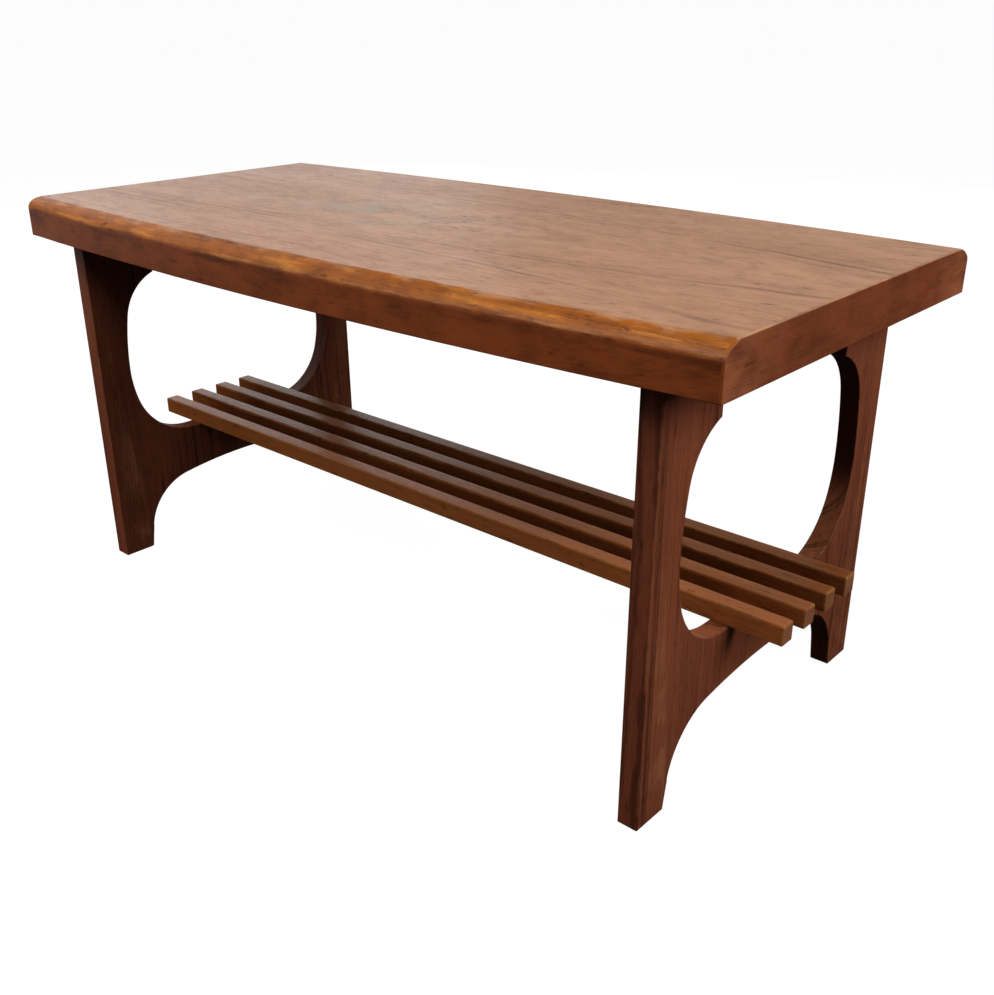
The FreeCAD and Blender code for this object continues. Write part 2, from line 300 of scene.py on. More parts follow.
def merged_copy(node, name):
    """Copy of a solid's mesh with its loose triangles joined into clean flat faces."""
    piece = new_piece(name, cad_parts[node].data.copy())
    piece.data.materials.clear()
    make_active(piece)
    bpy.ops.mesh.customdata_custom_splitnormals_clear()
    bpy.ops.object.mode_set(mode="EDIT")
    bpy.ops.mesh.select_all(action="SELECT")
    bpy.ops.mesh.remove_doubles(threshold=MERGE_DISTANCE)
    bpy.ops.mesh.dissolve_limited(angle_limit=FLAT_ANGLE)
    bpy.ops.object.mode_set(mode="OBJECT")
    return piece


def ease_rim(piece, plane_x, radius):
    """Round and rub the edges round a flat face that stands square to X, and mark what lies behind."""
    def behind(vert):
        return abs(vert.co.x - plane_x)

    def on_rim(edge):
        lies = all(behind(vert) < PLACE_TOLERANCE for vert in edge.verts)
        return lies and edge.calc_face_angle(0.0) > SMOOTH_ANGLE

    make_active(piece)
    bpy.ops.object.mode_set(mode="EDIT")
    select(piece, "EDGE", on_rim)
    bpy.ops.mesh.bevel(offset=radius, segments=RIM_STEPS, affect="EDGES", clamp_overlap=True)
    mark(piece, WEAR, lambda vert: PLACE_TOLERANCE < behind(vert) < radius - PLACE_TOLERANCE)
    mark(piece, SIDE, lambda vert: behind(vert) > radius - PLACE_TOLERANCE)
    bpy.ops.object.mode_set(mode="OBJECT")


def edge_face(along):
    """How far from the middle the long edges' faces stand, at a place along the table."""
    return EDGE_HALF_WIDTH - BOW * along ** 2


def fill_corner(piece, sizes):
    """Swell the bevel at the front edge's left end towards a full round."""
    width = EDGE_HALF_WIDTH - JOINT_HALF_WIDTH
    for vert in piece.data.vertices:
        inset = (vert.co.y + edge_face(vert.co.x)) / width
        near = (sizes.corner_reach - HALF_LENGTH - vert.co.x) / sizes.corner_reach
        if 0.0 < inset < 1.0 and near > 0.0 and vert.co.z > TABLE_HEIGHT - width:
            share = near * near * (3.0 - 2.0 * near)
            vert.co.z += sizes.corner_swell * share * math.sin(math.pi * math.sqrt(inset))
    piece.data.update()


def crisp_arris(piece, sizes):
    """Draw the round under the long edges in to a crisper arris."""
    share = sizes.lower_arris / LOWER_ROUND
    for vert in piece.data.vertices:
        face = edge_face(vert.co.x)
        inset = face - abs(vert.co.y)
        rise = vert.co.z - EDGE_BOTTOM
        if max(inset, rise) < LOWER_ROUND + PLACE_TOLERANCE:
            vert.co.y = math.copysign(face - inset * share, vert.co.y)
            vert.co.z = EDGE_BOTTOM + rise * share
    piece.data.update()


def cut_away(piece, cutter):
    """Take a cutter's shape out of a piece, and the cutter out of the scene."""
    make_active(piece)
    cut = piece.modifiers.new("cut", "BOOLEAN")
    cut.operation = "DIFFERENCE"
    cut.solver = "EXACT"
    cut.object = cutter
    bpy.ops.object.modifier_apply(modifier=cut.name)
    bpy.data.meshes.remove(cutter.data)


def even_shading(piece):
    """Smooth the curves and keep the flats flat."""
    make_active(piece)
    bpy.ops.object.shade_smooth_by_angle(angle=SMOOTH_ANGLE)
    weights = piece.modifiers.new("flats", "WEIGHTED_NORMAL")
    weights.keep_sharp = True
    bpy.ops.object.modifier_apply(modifier=weights.name)


def settle(piece, node, material):
    """Put a finished piece in a solid's place and material."""
    piece.data.materials.clear()
    piece.data.materials.append(material)
    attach(piece, "root")
    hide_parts(node)


def dress(node, material):
    """Give a solid that stays in view its finish."""
    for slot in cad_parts[node].material_slots:
        slot.material = material


class Shade:
    """One value in a material, on which Python's arithmetic makes Math nodes."""

    def __init__(self, finish, socket):
        self.finish = finish
        self.socket = socket

    def __add__(self, other):
        return self.finish.math("ADD", self, other)

    def __radd__(self, other):
        return self.finish.math("ADD", other, self)

    def __sub__(self, other):
        return self.finish.math("SUBTRACT", self, other)

    def __rsub__(self, other):
        return self.finish.math("SUBTRACT", other, self)

    def __mul__(self, other):
        return self.finish.math("MULTIPLY", self, other)

    def __rmul__(self, other):
        return self.finish.math("MULTIPLY", other, self)

    def __truediv__(self, other):
        return self.finish.math("DIVIDE", self, other)

    def __rtruediv__(self, other):
        return self.finish.math("DIVIDE", other, self)

    def __abs__(self):
        return self.finish.node("ShaderNodeMath", {"operation": "ABSOLUTE"}, {0: self})


class Finish:
    """The node tree of one material or world."""

    def __init__(self, holder):
        self.holder = holder
        holder.use_nodes = True
        self.tree = holder.node_tree
        self.tree.nodes.clear()

    def node(self, kind, settings=None, sockets=None, output=0):
        """Add a node: its settings first, then values or links for its sockets."""
        made = self.tree.nodes.new(kind)
        for key, value in (settings or {}).items():
            setattr(made, key, value)
        for key, value in (sockets or {}).items():
            if isinstance(value, Shade):
                self.tree.links.new(value.socket, made.inputs[key])
            else:
                made.inputs[key].default_value = value
        return Shade(self, made.outputs[output]) if made.outputs else None

    def math(self, operation, first, second):
        """Arithmetic on two values."""
        return self.node("ShaderNodeMath", {"operation": operation}, {0: first, 1: second})

    def distance(self, first, second):
        """Distance from the middle of a place that lies off it in two directions."""
        return self.node("ShaderNodeMath", {"operation": "SQRT"}, {0: first * first + second * second})

    def step(self, value, low, high):
        """Soft step from 0 at low to 1 at high."""
        return self.node(
            "ShaderNodeMapRange", {"interpolation_type": "SMOOTHSTEP"},
            {"Value": value, "From Min": low, "From Max": high})

    def place(self):
        """Where a point of the piece lies in the table's frame."""
        return self.node("ShaderNodeTexCoord", output="Object")

    def marked(self, attribute):
        """How strongly a point is marked."""
        return self.node("ShaderNodeAttribute", {"attribute_name": attribute}, output="Fac")

    def axes(self, vector):
        """The three parts of a vector."""
        split = self.node("ShaderNodeSeparateXYZ", {}, {"Vector": vector})
        return [Shade(self, socket) for socket in split.socket.node.outputs]

    def noise(self, place, rates, detail, roughness=0.5):
        """Cloudy values about one half, with rates per metre along the three axes."""
        stretched = self.node("ShaderNodeVectorMath", {"operation": "MULTIPLY"}, {0: place, 1: rates})
        return self.node(
            "ShaderNodeTexNoise", {},
            {"Vector": stretched, "Scale": 1.0, "Detail": detail, "Roughness": roughness})

    def waver(self, place, rates, detail, roughness=0.5):
        """The same about zero."""
        return self.noise(place, rates, detail, roughness) - 0.5

    def patches(self, place, rate, low, high):
        """Mask of round patches, where cloudy values rise from low to high."""
        return self.step(self.noise(place, (rate, rate, rate), 3.0), low, high)

    def layers(self, distance, detail, roughness):
        """Uneven layers along a distance, about zero."""
        return self.node(
            "ShaderNodeTexNoise", {"noise_dimensions": "1D"},
            {"W": distance, "Scale": 1.0, "Detail": detail, "Roughness": roughness}) - 0.5

    def blend(self, factor, first, second):
        """A mix of two colours."""
        return self.node(
            "ShaderNodeMix", {"data_type": "RGBA"}, {0: factor, 6: first, 7: second}, output=2)

    def surface(self, colour, roughness, height, depth, constants):
        """Close a material with a Principled shader and a bump of a given depth in metres."""
        normal = self.node("ShaderNodeBump", {}, {"Height": height, "Distance": depth})
        shader = self.node(
            "ShaderNodeBsdfPrincipled", {},
            {"Base Color": colour, "Roughness": roughness, "Normal": normal, **constants})
        self.node("ShaderNodeOutputMaterial", {}, {"Surface": shader})
        return self.holder


class Figure(NamedTuple):
    """How a board was cut and how its grain runs."""

    turn: tuple = GRAIN_ALONG_X
    pith_side: float = 0.0      # where the middle of the log lies across the grain
    pith_depth: float = 0.10    # how far it lies under the face
    climb: tuple = (0.0, 0.5, 0.0)      # start, end and height of the grain's climb away from the pith
    leaf: float = 0.0           # width of matched leaves of veneer, 0 for solid wood
    layer: float = 0.012        # usual width of a growth layer
    sway: float = 0.02          # how far the grain wanders sideways
    heart: float = 0.0          # radius of one strong ring, 0 for none
    seams: float = 0.6          # strength of the thin dark lines between layers
    growth: float = 0.3         # strength of the fine layers
    cloud: float = 0.35         # strength of the broad dark patches
    flecks: float = 0.4         # strength of the short dark flecks
    gloss: float = 0.42         # roughness of the finish
    shine: float = 0.5          # strength of its reflections
    streaks: float = 0.0        # strength of the long broad streaks
    mottle: float = 0.0         # strength of the round patches
    fibre: float = 0.6          # strength of the fine fibres
    feather: tuple = ()         # place along and across, and reach, of a patch crowded with flecks
    relief: float = 0.0002      # depth of the pores


def paler(colour, painted_light):
    """A colour made paler or, below 1, darker."""
    red, green, blue, alpha = colour
    return red * painted_light, green * painted_light, blue * painted_light, alpha


def rubbed_edges(finish, place):
    """Mask of the eased edges, rubbed bare in places."""
    return finish.marked(WEAR) * finish.patches(place, 28.0, 0.35, 0.65)


def past_border(finish, place):
    """Mask of the oiled bevel, from its uneven border with the veneer outwards."""
    along, across, _ = finish.axes(place)
    joint = JOINT_HALF_WIDTH - along * along * BOW
    wander = finish.waver(place, (26.0, 60.0, 0.0), 3.0) * 0.034
    feather = finish.waver(place, (90.0, 600.0, 0.0), 2.0) * 0.010
    return finish.step(abs(across) - joint + wander + feather, -0.004, 0.005)


def short_of_border(finish, place):
    """Mask of the rest of the top's surface, inside the bevel's uneven border."""
    up = finish.axes(place)[2]
    above = finish.step(up, BEVEL_BOTTOM - 0.0012, BEVEL_BOTTOM + 0.0048)
    return (1.0 - past_border(finish, place)) * above


def wood(name, pale, dark, figure, *patches):
    """Oiled wood: growth layers round a pith, thin seams, streaks, clouds, flecks, fibres and pores.

    Each patch is another pale tone and the function that makes its mask, from the finish and a place.
    """
    finish = Finish(bpy.data.materials.new(name))
    place = finish.place()
    board = finish.node("ShaderNodeMapping", {}, {"Vector": place, "Rotation": figure.turn})
    along, across, deep = finish.axes(board)

    def drawn(rate_along, rate_across, detail, roughness=0.5):
        """Cloudy values about zero, drawn out along the grain."""
        return finish.waver(board, (rate_along, rate_across, rate_across), detail, roughness)

    side = across - figure.pith_side
    if figure.leaf:
        side = finish.math("PINGPONG", side + figure.leaf / 2, figure.leaf) - figure.leaf / 2
    side = side + drawn(2.4, 6.0, 2.0) * figure.sway + drawn(22.0, 60.0, 3.0) * RIPPLE
    start, end, height = figure.climb
    below = deep + figure.pith_depth + finish.step(along, start, end) * height
    below = below + drawn(7.0, 2.0, 2.0) * figure.sway
    radius = finish.distance(side, below)

    seam = abs(finish.layers(radius / figure.layer, 2.0, 0.6))
    gaps = drawn(5.0, 18.0, 3.0)
    seams = (1.0 - finish.step(seam, 0.0, 0.05)) * finish.step(gaps, -0.10, 0.12) * figure.seams
    if figure.heart:
        ring = 1.0 - finish.step(abs(radius - figure.heart), 0.0004, 0.0032)
        seams = seams + ring * finish.step(gaps, -0.20, 0.15) * HEART_DARKNESS
    growth = finish.layers(radius / (figure.layer * FINE_LAYER), 3.0, 0.6)
    clouds = drawn(4.0, 15.0, 2.0)
    crowd = drawn(55.0, 210.0, 3.0, 0.6)
    if figure.feather:
        middle_along, middle_across, reach = figure.feather
        away = finish.distance((along - middle_along) / reach, (across - middle_across) / reach)
        crowd = crowd + (1.0 - finish.step(away, 0.2, 1.0)) * FEATHER_CROWDING
    flecks = finish.step(crowd, 0.10, 0.24)
    fibres = drawn(22.0, 600.0, 3.0, 0.7)
    pores = finish.step(drawn(60.0, 800.0, 2.0, 0.6), 0.06, 0.22)

    darkness = GROUND_DARKNESS + seams + growth * figure.growth + clouds * figure.cloud
    darkness = darkness + flecks * figure.flecks + fibres * figure.fibre + pores * PORE_DARKNESS
    if figure.streaks:
        darkness = darkness + drawn(1.6, 75.0, 3.0, 0.6) * figure.streaks
    if figure.mottle:
        darkness = darkness + drawn(30.0, 55.0, 3.0, 0.6) * figure.mottle
    for patch_tone, mask in patches:
        pale = finish.blend(mask(finish, place), pale, patch_tone)
    colour = finish.blend(finish.step(darkness, -0.15, 1.15), pale, dark)
    roughness = figure.gloss + pores * 0.10 + fibres * 0.15 + clouds * 0.10
    relief = fibres * 0.6 - pores - seams * 0.4
    return finish.surface(colour, roughness, relief, figure.relief, {"Specular IOR Level": figure.shine})


def steel(name, bright, dull):
    """Turned steel, dull in places, with fine scratches."""
    finish = Finish(bpy.data.materials.new(name))
    place = finish.place()
    haze = finish.noise(place, (900.0, 900.0, 900.0), 3.0)
    scratches = finish.noise(place, (5200.0, 5200.0, 5200.0), 2.0)
    tint = finish.blend(finish.step(haze, 0.35, 0.7), bright, dull)
    return finish.surface(tint, 0.3 + haze * 0.3, scratches, 0.00003, {"Metallic": 1.0})


class TABLE_OT_top(bpy.types.Operator):
    """Finish the top's board, veneers and hidden battens"""

    bl_idname = "table.top"
    bl_label = "Top"

    def execute(self, context):
        tones = context.scene.table_tones
        dress("top_face_veneer", wood(
            "figured_teak_veneer", tones.top_pale, tones.top_dark,
            Figure(
                pith_depth=0.045 - TABLE_HEIGHT, climb=(-0.10, 0.60, 0.062), leaf=0.244, layer=0.022,
                sway=0.020, heart=0.120, seams=0.24, cloud=0.40, flecks=0.75, gloss=0.46, mottle=0.8,
                fibre=0.45, feather=(0.04, 0.0, 0.10)),
            (tones.top_grey, self.bleached), (tones.bevel, past_border)))
        dress("top_core", wood("plain_batten_wood", tones.plain_pale, tones.plain_dark, Figure(gloss=0.6)))
        dress("top_backing_veneer", wood(
            "backing_teak_veneer", tones.panel_pale, tones.panel_dark,
            Figure(
                pith_side=0.4, pith_depth=0.1, layer=0.010, sway=0.012, seams=0.25, cloud=0.25, gloss=0.6)))
        crosswise = wood(
            "crosswise_batten_wood", tones.plain_pale, tones.plain_dark,
            Figure(turn=GRAIN_ALONG_Y, gloss=0.6))
        for end in ENDS:
            dress(end + "_end_batten", crosswise)
        return {"FINISHED"}

    def bleached(self, finish, place):
        """Mask of the grey patches on the middle of the top."""
        along, across, _ = finish.axes(place)
        off_along = (along - BLEACHED_MIDDLE) / BLEACHED_HALF_LENGTH
        away = finish.distance(off_along, across / BLEACHED_HALF_WIDTH)
        return (1.0 - finish.step(away, 0.1, 1.1)) * finish.patches(place, 22.0, 0.42, 0.66)


class TABLE_OT_lippings(bpy.types.Operator):
    """Model and finish the bevelled strips along the long edges"""

    bl_idname = "table.lippings"
    bl_label = "Bevelled edges"

    def execute(self, context):
        tones = context.scene.table_tones
        sizes = context.scene.table_sizes
        figure = Figure(
            pith_side=0.3, pith_depth=-0.40, climb=(-0.5, 0.5, 0.05), layer=0.010, sway=0.06, seams=0.15,
            cloud=0.9, flecks=0.5, gloss=0.5, shine=0.3, mottle=1.4, relief=0.00005)
        for side in SIDES:
            node = side + "_lipping"
            piece = merged_copy(node, node + "_worn")
            crisp_arris(piece, sizes)
            if side == "front":
                fill_corner(piece, sizes)
            even_shading(piece)
            settle(piece, node, wood(
                side + "_edge_teak", tones.edge_pale, tones.edge_dark, figure,
                (tones.bevel, self.planed), (tones.edge_stain, self.stained),
                (tones.bevel_gold, self.golden), (tones.edge_worn_and_highlit, self.highlit_and_rubbed_arris),
                (tones.top_pale, short_of_border)))
        return {"FINISHED"}

    def wavy_height(self, finish, place):
        """Height above the bevel's lower arris, wavering as the plane did."""
        up = finish.axes(place)[2]
        return up - BEVEL_BOTTOM + finish.waver(place, (16.0, 30.0, 40.0), 4.0) * 0.012

    def planed(self, finish, place):
        """Mask of the bevel, uneven along its lower arris."""
        return finish.step(self.wavy_height(finish, place), -0.0032, 0.0008)

    def stained(self, finish, place):
        """Mask of dark streaks just under the bevel."""
        height = self.wavy_height(finish, place)
        under = finish.step(height, -0.0132, -0.0052) * (1.0 - finish.step(height, -0.0012, 0.0018))
        streaks = finish.noise(place, (9.0, 0.0, 90.0), 4.0)
        return under * finish.step(streaks, 0.50, 0.66)

    def golden(self, finish, place):
        """Mask of golden streaks along the bevel."""
        streaks = finish.noise(place, (11.0, 60.0, 170.0), 4.0, 0.6)
        return self.planed(finish, place) * finish.step(streaks, 0.48, 0.66)

    def highlit_and_rubbed_arris(self, finish, place):
        """Mask of a thin pale line along the bevel's lower arris, towards the right: painted highlight, and
        wear in places.
        """
        along, _, up = finish.axes(place)
        off = abs(up - BEVEL_BOTTOM + finish.waver(place, (30.0, 30.0, 30.0), 3.0) * 0.003)
        # Where the painted highlight and wear show along the arris
        bare = finish.patches(place, 14.0, 0.42, 0.62) * finish.step(along, ARRIS_LINE_FROM, ARRIS_LINE_TO)
        return (1.0 - finish.step(off, 0.0003, 0.0016)) * bare


class TABLE_OT_end_bands(bpy.types.Operator):
    """Model and finish the strips that close the top's ends, with eased edges"""

    bl_idname = "table.end_bands"
    bl_label = "End bands"

    def execute(self, context):
        tones = context.scene.table_tones
        sizes = context.scene.table_sizes
        figure = Figure(
            turn=GRAIN_ALONG_Y, pith_side=0.2, pith_depth=0.0, layer=0.008, seams=0.12, growth=0.15,
            flecks=0.5, gloss=0.45, shine=0.2, mottle=1.6, fibre=0.9)
        for end in ENDS:
            node = end + "_end_band"
            low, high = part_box(node)
            outside, inside = (high.x, low.x) if end == "right" else (low.x, high.x)
            piece = self.band(node, outside, inside, high.y)
            crisp_arris(piece, sizes)
            ease_rim(piece, outside, sizes.end_arris)
            if end == "left":
                fill_corner(piece, sizes)
            even_shading(piece)
            settle(piece, node, wood(
                end + "_band_teak", tones.band_pale, tones.band_dark, figure,
                (tones.band_worn_and_lit, self.lit_corners_and_rubbed_rim), (tones.edge_pale, self.lapped),
                (tones.bevel, self.planed), (tones.top_pale, self.overlaid)))
        return {"FINISHED"}

    def band(self, node, outside, inside, inside_half_width):
        """Strip drawn back from the end's own outline, a little wider where it meets the long edges."""
        piece = merged_copy(node, node + "_eased")

        def on_end(face):
            return all(abs(vert.co.x - outside) < MERGE_DISTANCE for vert in face.verts)

        bpy.ops.object.mode_set(mode="EDIT")
        select(piece, "FACE", lambda face: not on_end(face))
        bpy.ops.mesh.delete(type="FACE")
        bpy.ops.mesh.select_all(action="SELECT")
        bpy.ops.mesh.dissolve_faces()
        bpy.ops.transform.resize(value=(0.0, 1.0, 1.0), center_override=(outside, 0.0, 0.0))
        outside_half_width = max(vert.co.y for vert in bmesh.from_edit_mesh(piece.data).verts)
        bpy.ops.mesh.extrude_region_move(TRANSFORM_OT_translate={"value": (inside - outside, 0.0, 0.0)})
        bpy.ops.transform.resize(
            value=(1.0, inside_half_width / outside_half_width, 1.0), center_override=(inside, 0.0, 0.0))
        bpy.ops.mesh.select_all(action="SELECT")
        bpy.ops.mesh.normals_make_consistent(inside=False)
        bpy.ops.object.mode_set(mode="OBJECT")
        return piece

    def lit_corners_and_rubbed_rim(self, finish, place):
        """Mask of the corners, where light is painted on, and of the eased rim, which is rubbed."""
        corners = finish.step(abs(finish.axes(place)[1]), LIT_CORNERS_FROM, LIT_CORNERS_TO)
        uneven = 0.6 + finish.patches(place, 24.0, 0.35, 0.65) * 0.4
        return corners * uneven + rubbed_edges(finish, place) * 0.12

    def lapped(self, finish, place):
        """Mask of a band's sides, in the tone of the long edges beside them."""
        return finish.marked(SIDE)

    def planed(self, finish, place):
        """Mask of a band's sides above the lower arris of the bevel."""
        up = finish.axes(place)[2]
        return self.lapped(finish, place) * finish.step(up, BEVEL_BOTTOM - 0.0022, BEVEL_BOTTOM + 0.0008)

    def overlaid(self, finish, place):
        """Mask of a band's upper side, as pale as the veneer beside it."""
        up = finish.axes(place)[2]
        return finish.step(up, TABLE_HEIGHT - 0.0010, TABLE_HEIGHT - 0.0003)


class TABLE_OT_panels(bpy.types.Operator):
    """Model the end panels' veneers with eased edges, and finish their cores"""

    bl_idname = "table.panels"
    bl_label = "End panels"

    def execute(self, context):
        tones = context.scene.table_tones
        sizes = context.scene.table_sizes
        figure = Figure(
            turn=GRAIN_ALONG_Z, pith_side=0.5, pith_depth=0.2, layer=0.010, sway=0.02, seams=0.5,
            growth=0.6, cloud=0.5, gloss=0.45, shine=0.2, streaks=0.6)
        # Painted light and shade inside the right panel's opening
        worn = {"left": (), "right": ((tones.sill_painted_light, self.painted_sill_light), (tones.sill_painted_shade, self.painted_opening_shade))}
        for end in ENDS:
            # The sawn edges' tone carries their end's painted light or shade
            dress(end + "_panel_core", wood(
                end + "_sawn_edge_teak", paler(tones.core_pale, EDGE_PAINTED_LIGHT_AND_SHADE[end]), tones.panel_dark,
                figure, *worn[end]))
            # The veneers' tone carries their end's painted shade
            teak = wood(
                end + "_panel_teak", paler(tones.panel_pale, FACE_PAINTED_SHADE[end]), tones.panel_dark,
                figure, (tones.panel_worn, rubbed_edges))
            for face in ("inner", "outer"):
                node = end + "_panel_" + face + "_veneer"
                low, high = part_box(node)
                outside = high.x if (end == "right") == (face == "outer") else low.x
                piece = merged_copy(node, node + "_eased")
                ease_rim(piece, outside, sizes.panel_arris)
                even_shading(piece)
                settle(piece, node, teak)
        return {"FINISHED"}

    def opening(self, finish, place):
        """Height, and mask of the opening's own edge."""
        _, across, up = finish.axes(place)
        inside = 1.0 - finish.step(abs(across), LEG_MIDDLE, LEG_MIDDLE + 0.015)
        return up, inside * finish.step(up, RAIL_MIDDLE, RAIL_MIDDLE + 0.03)

    def painted_sill_light(self, finish, place):
        """Mask of the opening's lower curve, where light is painted on."""
        up, inside = self.opening(finish, place)
        return inside * (1.0 - finish.step(up, SILL_TOP - 0.02, SILL_TOP + 0.02))

    def painted_opening_shade(self, finish, place):
        """Mask of the opening's upper curve, where shade is painted on."""
        up, inside = self.opening(finish, place)
        return inside * finish.step(up, SILL_TOP - 0.01, SILL_TOP + 0.03)


class TABLE_OT_slats(bpy.types.Operator):
    """Model and finish the bars of the rack, with eased edges and dowel holes"""

    bl_idname = "table.slats"
    bl_label = "Slats"

    def execute(self, context):
        tones = context.scene.table_tones
        first_low, first_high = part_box("front_slat")
        first = self.bar(first_low, first_high, context.scene.table_sizes)
        # Each slat's tone carries its painted light and shade
        for node, painted_light in SLAT_PAINTED_LIGHT_AND_SHADE.items():
            piece = new_piece(node + "_eased", first.copy())
            piece.data.transform(Matrix.Translation(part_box(node)[0] - first_low))
            # Painted shade on the inner slats' sides, where the gaps lie in shade
            gap_shade = ((tones.slat_painted_shade, self.painted_gap_shade),) if node.startswith("inner") else ()
            settle(piece, node, wood(
                node + "_teak", paler(tones.slat_pale, painted_light), tones.slat_dark,
                Figure(
                    pith_side=0.3, pith_depth=0.2, layer=0.008, sway=0.02, seams=0.3, gloss=0.28,
                    shine=SLAT_SHINE * painted_light, streaks=0.3),
                (tones.slat_end, self.end_grain), (tones.slat_worn, rubbed_edges), *gap_shade))
        bpy.data.meshes.remove(first)
        return {"FINISHED"}

    def bar(self, low, high, sizes):
        """Mesh of one bar between two corners, with rounded edges and a hole over each dowel."""
        deselect_all()
        bpy.ops.mesh.primitive_cube_add(size=1.0, location=(low + high) / 2, scale=high - low)
        bar = bpy.context.active_object
        bpy.ops.object.transform_apply(location=True, rotation=True, scale=True)
        bpy.ops.object.mode_set(mode="EDIT")
        bpy.ops.mesh.select_all(action="SELECT")
        bpy.ops.mesh.bevel(offset=sizes.slat_arris, segments=SLAT_STEPS, affect="EDGES")
        select(bar, "FACE", lambda face: max(abs(part) for part in face.normal) > SQUARE)
        bpy.ops.mesh.inset(thickness=sizes.rubbed_width, use_individual=True)
        mark(bar, WEAR, lambda vert: not vert.select)
        bpy.ops.object.mode_set(mode="OBJECT")
        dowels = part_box("slat_dowels")[1]
        for direction in (-1, 1):
            deselect_all()
            bpy.ops.mesh.primitive_cylinder_add(
                vertices=ROUND_SIDES, radius=sizes.dowel / 2 + sizes.dowel_room, depth=2 * (dowels.z - low.z),
                location=(direction * (dowels.x - sizes.dowel / 2), (low.y + high.y) / 2, low.z))
            cut_away(bar, bpy.context.active_object)
        even_shading(bar)
        mesh = bar.data
        bpy.data.objects.remove(bar)
        return mesh

    def end_grain(self, finish, place):
        """Mask of a slat's two ends."""
        return finish.step(abs(finish.axes(place)[0]), SLAT_END - 0.0016, SLAT_END - 0.0004)

    def painted_gap_shade(self, finish, place):
        """Mask of a slat's sides between the panels, where shade is painted on in the gaps."""
        along, _, up = finish.axes(place)
        between = 1.0 - finish.step(abs(along), PANEL_INSIDE - 0.03, PANEL_INSIDE + 0.03)
        return between * (1.0 - finish.step(up, SLAT_TOP - 0.006, SLAT_TOP - 0.001)) * 0.75


class TABLE_OT_fixings(bpy.types.Operator):
    """Model the screws and finish the cleats and dowels"""

    bl_idname = "table.fixings"
    bl_label = "Cleats, dowels and screws"

    def execute(self, context):
        tones = context.scene.table_tones
        cleat = wood("cleat_wood", tones.plain_pale, tones.plain_dark, Figure(turn=GRAIN_ALONG_Y, gloss=0.6))
        for end in ENDS:
            dress(end + "_cleat", cleat)
        dress("slat_dowels", wood(
            "dowel_wood", tones.plain_pale, tones.plain_dark, Figure(turn=GRAIN_ALONG_Z)))
        metal = steel("screw_steel_turned", tones.steel, tones.steel_dull)
        settle(self.screws(context.scene.table_sizes), "cleat_screws", metal)
        return {"FINISHED"}

    def screws(self, sizes):
        """Round-headed screws up into the top, one modelled and the others copied from it."""
        low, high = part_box("cleat_screws")
        first_place = Vector((high.x, high.y, low.z)) - Vector((1.0, 1.0, 0.0)) * (sizes.screw_head / 2)
        first = self.screw(sizes, first_place, high.z)
        copies = []
        for end, side, turn in OTHER_SCREWS:
            copy = new_piece("cleat_screw_copy", first.data.copy())
            place = Vector((first_place.x * end, first_place.y * side, first_place.z))
            copy.data.transform(
                Matrix.Translation(place) @ Matrix.Rotation(turn, 4, "Z") @ Matrix.Translation(-first_place))
            copies.append(copy)
        make_active(first)
        for copy in copies:
            copy.select_set(True)
        bpy.ops.object.join()
        even_shading(first)
        return first

    def screw(self, sizes, place, tip):
        """One screw: a domed head with a slot, and a shank that ends in a point."""
        head_radius = sizes.screw_head / 2
        deselect_all()
        bpy.ops.mesh.primitive_cylinder_add(
            vertices=ROUND_SIDES, radius=head_radius, depth=sizes.screw_rise,
            location=place + Vector((0.0, 0.0, sizes.screw_rise / 2)))
        screw = bpy.context.active_object
        screw.name = "cleat_screws_slotted"
        bpy.ops.object.transform_apply(location=True, rotation=True, scale=True)
        bpy.ops.object.mode_set(mode="EDIT")
        select(screw, "EDGE", lambda edge: all(vert.co.z < place.z + PLACE_TOLERANCE for vert in edge.verts))
        bpy.ops.mesh.bevel(offset=sizes.screw_rise * DOME_SHARE, segments=DOME_STEPS, affect="EDGES")
        select(screw, "FACE", lambda face: face.normal.z > SQUARE)
        bpy.ops.mesh.inset(thickness=head_radius - sizes.screw_shank / 2)
        shank = tip - place.z - sizes.screw_rise
        point = sizes.screw_shank
        bpy.ops.mesh.extrude_region_move(TRANSFORM_OT_translate={"value": (0.0, 0.0, shank - point)})
        bpy.ops.mesh.extrude_region_move(TRANSFORM_OT_translate={"value": (0.0, 0.0, point)})
        bpy.ops.transform.resize(
            value=(POINT_SHARE, POINT_SHARE, 1.0), center_override=(place.x, place.y, tip))
        bpy.ops.object.mode_set(mode="OBJECT")
        deselect_all()
        bpy.ops.mesh.primitive_cube_add(
            size=1.0, location=place,
            scale=(sizes.screw_head * SLOT_REACH, sizes.screw_slot, sizes.screw_rise))
        cut_away(screw, bpy.context.active_object)
        return screw


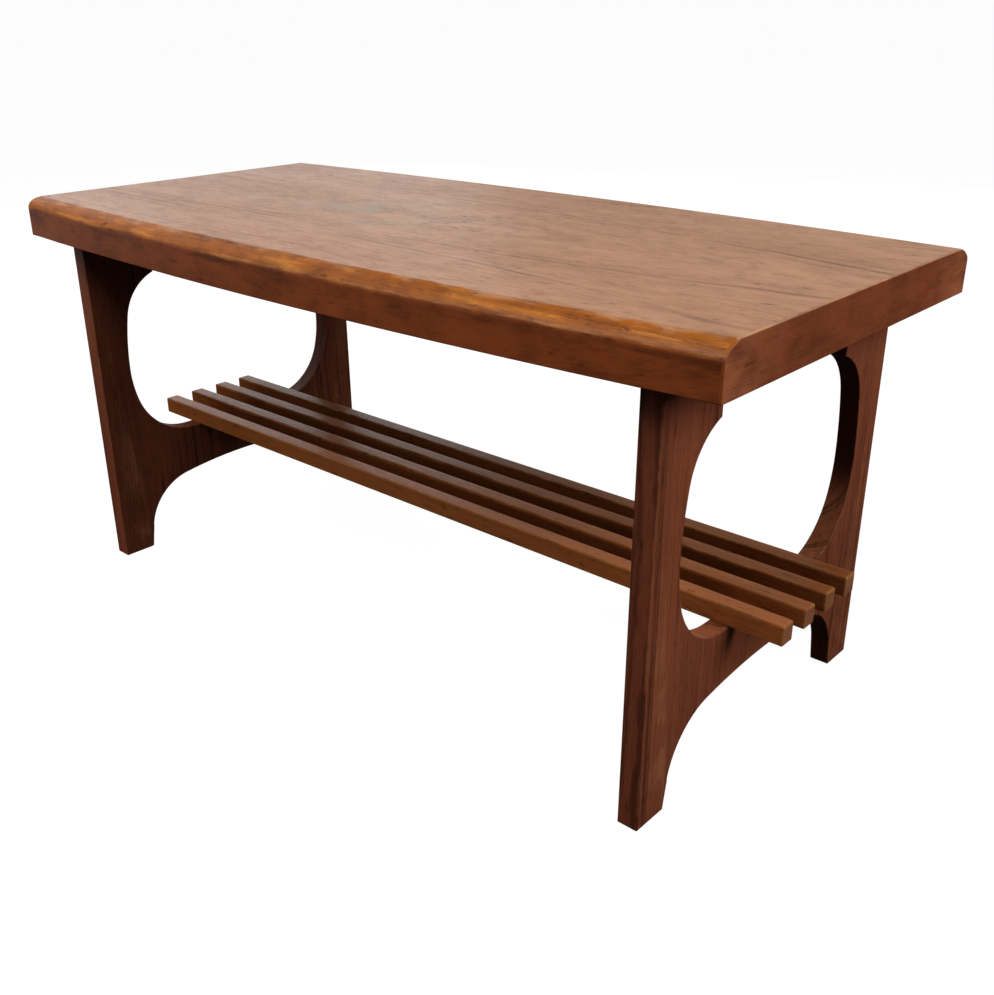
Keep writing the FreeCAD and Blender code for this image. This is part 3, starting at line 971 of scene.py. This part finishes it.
class TABLE_OT_stage(bpy.types.Operator):
    """Set up the floor, the light and the camera"""

    bl_idname = "table.stage"
    bl_label = "Stage"

    def execute(self, context):
        scene = context.scene
        self.floor(scene)
        self.room(scene)
        self.lamps(scene)
        self.camera(scene)
        return {"FINISHED"}

    def floor(self, scene):
        """A plain pale floor whose far rim turns up into a wall."""
        deselect_all()
        bpy.ops.mesh.primitive_cylinder_add(
            vertices=COVE_SIDES, radius=COVE_RADIUS, depth=COVE_HEIGHT, location=(0.0, 0.0, COVE_HEIGHT / 2))
        floor = bpy.context.active_object
        floor.name = "studio_floor"
        bpy.ops.object.transform_apply(location=True, rotation=True, scale=True)
        bpy.ops.object.mode_set(mode="EDIT")
        select(floor, "FACE", lambda face: face.normal.z > SQUARE)
        bpy.ops.mesh.delete(type="FACE")
        select(floor, "EDGE", lambda edge: all(abs(vert.co.z) < PLACE_TOLERANCE for vert in edge.verts))
        bpy.ops.mesh.bevel(offset=COVE_HEIGHT / 2, segments=COVE_STEPS, affect="EDGES")
        bpy.ops.mesh.select_all(action="SELECT")
        bpy.ops.mesh.flip_normals()
        bpy.ops.object.mode_set(mode="OBJECT")
        bpy.ops.object.shade_smooth()
        floor.visible_diffuse = False
        floor.visible_glossy = False
        finish = Finish(bpy.data.materials.new("studio_floor_paper"))
        shader = finish.node("ShaderNodeBsdfPrincipled", {}, {
            "Base Color": scene.table_tones.floor, "Roughness": 0.9, "Specular IOR Level": 0.0,
            "Emission Color": WHITE, "Emission Strength": scene.table_stage.floor_light})
        finish.node("ShaderNodeOutputMaterial", {}, {"Surface": shader})
        floor.data.materials.append(finish.holder)

    def room(self, scene):
        """Faint even light of a dim room."""
        scene.world = bpy.data.worlds.new("dim_room")
        room = Finish(scene.world)
        background = room.node(
            "ShaderNodeBackground", {}, {"Color": WHITE, "Strength": scene.table_stage.room_light})
        room.node("ShaderNodeOutputWorld", {}, {"Surface": background})

    def lamps(self, scene):
        """The soft lamps, which the camera doesn't see."""
        for lamp in LAMPS:
            light = bpy.data.lights.new(lamp.name, "AREA")
            light.shape = "RECTANGLE"
            light.size = lamp.width
            light.size_y = lamp.height
            light.energy = lamp.radiance * math.pi * lamp.width * lamp.height
            light.color = lamp.colour
            holder = bpy.data.objects.new(lamp.name, light)
            holder.location = lamp.place
            aim = Vector(lamp.target) - Vector(lamp.place)
            holder.rotation_euler = aim.to_track_quat("-Z", "Y").to_euler()
            holder.visible_camera = False
            scene.collection.objects.link(holder)

    def camera(self, scene):
        """The camera at the photograph's angle."""
        stage = scene.table_stage
        lens = bpy.data.cameras.new("studio_camera")
        lens.lens = stage.camera_lens
        camera = bpy.data.objects.new("studio_camera", lens)
        scene.collection.objects.link(camera)
        camera.matrix_world = (
            Matrix.Translation(stage.camera_place)
            @ Matrix.Rotation(stage.camera_heading, 4, "Z")
            @ Matrix.Rotation(math.radians(90) + stage.camera_tilt, 4, "X")
            @ Matrix.Rotation(stage.camera_roll, 4, "Z"))
        scene.camera = camera
        scene.view_settings.view_transform = "Standard"


class TABLE_PT_sidebar(bpy.types.Panel):
    """Lists the steps that dress the table"""

    bl_idname = "TABLE_PT_sidebar"
    bl_label = "Magazine table"
    bl_space_type = "VIEW_3D"
    bl_region_type = "UI"
    bl_category = "Table"

    def draw(self, context):
        for step in STEPS:
            self.layout.operator(step.bl_idname)


STEPS = (
    TABLE_OT_top, TABLE_OT_lippings, TABLE_OT_end_bands, TABLE_OT_panels, TABLE_OT_slats, TABLE_OT_fixings,
    TABLE_OT_stage,
)
GROUPS = {"table_sizes": TableSizes, "table_tones": TableTones, "table_stage": TableStage}


def register():
    """Make the classes known to Blender."""
    for group in GROUPS.values():
        bpy.utils.register_class(group)
    for name, group in GROUPS.items():
        setattr(bpy.types.Scene, name, PointerProperty(type=group))
    for step in STEPS:
        bpy.utils.register_class(step)
    bpy.utils.register_class(TABLE_PT_sidebar)


def unregister():
    """Undo register."""
    bpy.utils.unregister_class(TABLE_PT_sidebar)
    for step in reversed(STEPS):
        bpy.utils.unregister_class(step)
    for name in GROUPS:
        delattr(bpy.types.Scene, name)
    for group in GROUPS.values():
        bpy.utils.unregister_class(group)


def main():
    """Dress the table."""
    register()
    for step in STEPS:
        family, name = step.bl_idname.split(".")
        getattr(getattr(bpy.ops, family), name)()


if __name__ == "__main__":
    main()
